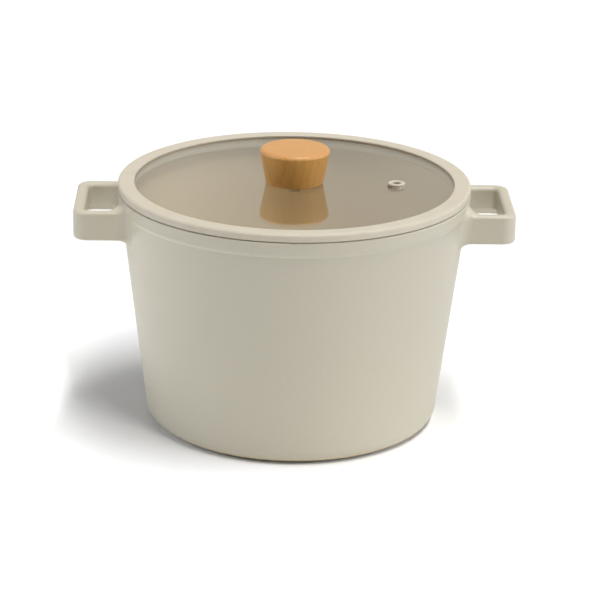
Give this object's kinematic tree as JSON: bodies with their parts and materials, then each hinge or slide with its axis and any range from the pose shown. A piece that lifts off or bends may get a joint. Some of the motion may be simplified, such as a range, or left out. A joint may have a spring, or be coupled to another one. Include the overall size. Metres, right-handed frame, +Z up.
{
  "type": "saucepan with glass lid",
  "caption": "Deep cast pot with two squared loop handles and a flat glass lid with a silicone rim, a steam vent and a turned wooden knob.",
  "frame": {"origin": "centre of the base's underside, on the surface the pot stands on", "axes": "+X through the middle of one loop handle, +Y across the pot, +Z up through the knob"},
  "size_m": [0.31, 0.2498, 0.199],
  "materials": {
    "coated_casting": "cast aluminium under an opaque satin warm off-white baked coating, so not metallic to look at",
    "plate_steel": "brushed stainless steel",
    "cream_silicone": "satin warm off-white silicone",
    "tempered_glass": "clear polished tempered glass",
    "knob_wood": "oiled light-brown hardwood, turned",
    "insert_brass": "machined brass",
    "clear_silicone": "translucent greyish silicone",
    "fastener_steel": "bright stainless steel"
  },
  "bodies": {
    "pot": {"pot_body": "coated_casting", "induction_plate": "plate_steel"},
    "lid": {"silicone_rim": "cream_silicone", "glass_disc": "tempered_glass", "vent_grommet": "cream_silicone", "wooden_knob": "knob_wood", "knob_insert": "insert_brass", "knob_gasket": "clear_silicone", "glass_sleeve": "clear_silicone", "knob_washer": "fastener_steel", "spring_washer": "fastener_steel", "knob_screw": "fastener_steel"}
  },
  "joints": [
    {"name": "lid_lift", "type": "slide", "parent": "pot", "child": "lid", "axis": [0, 0, 1], "range_m": [0, 0.25]}
  ]
}
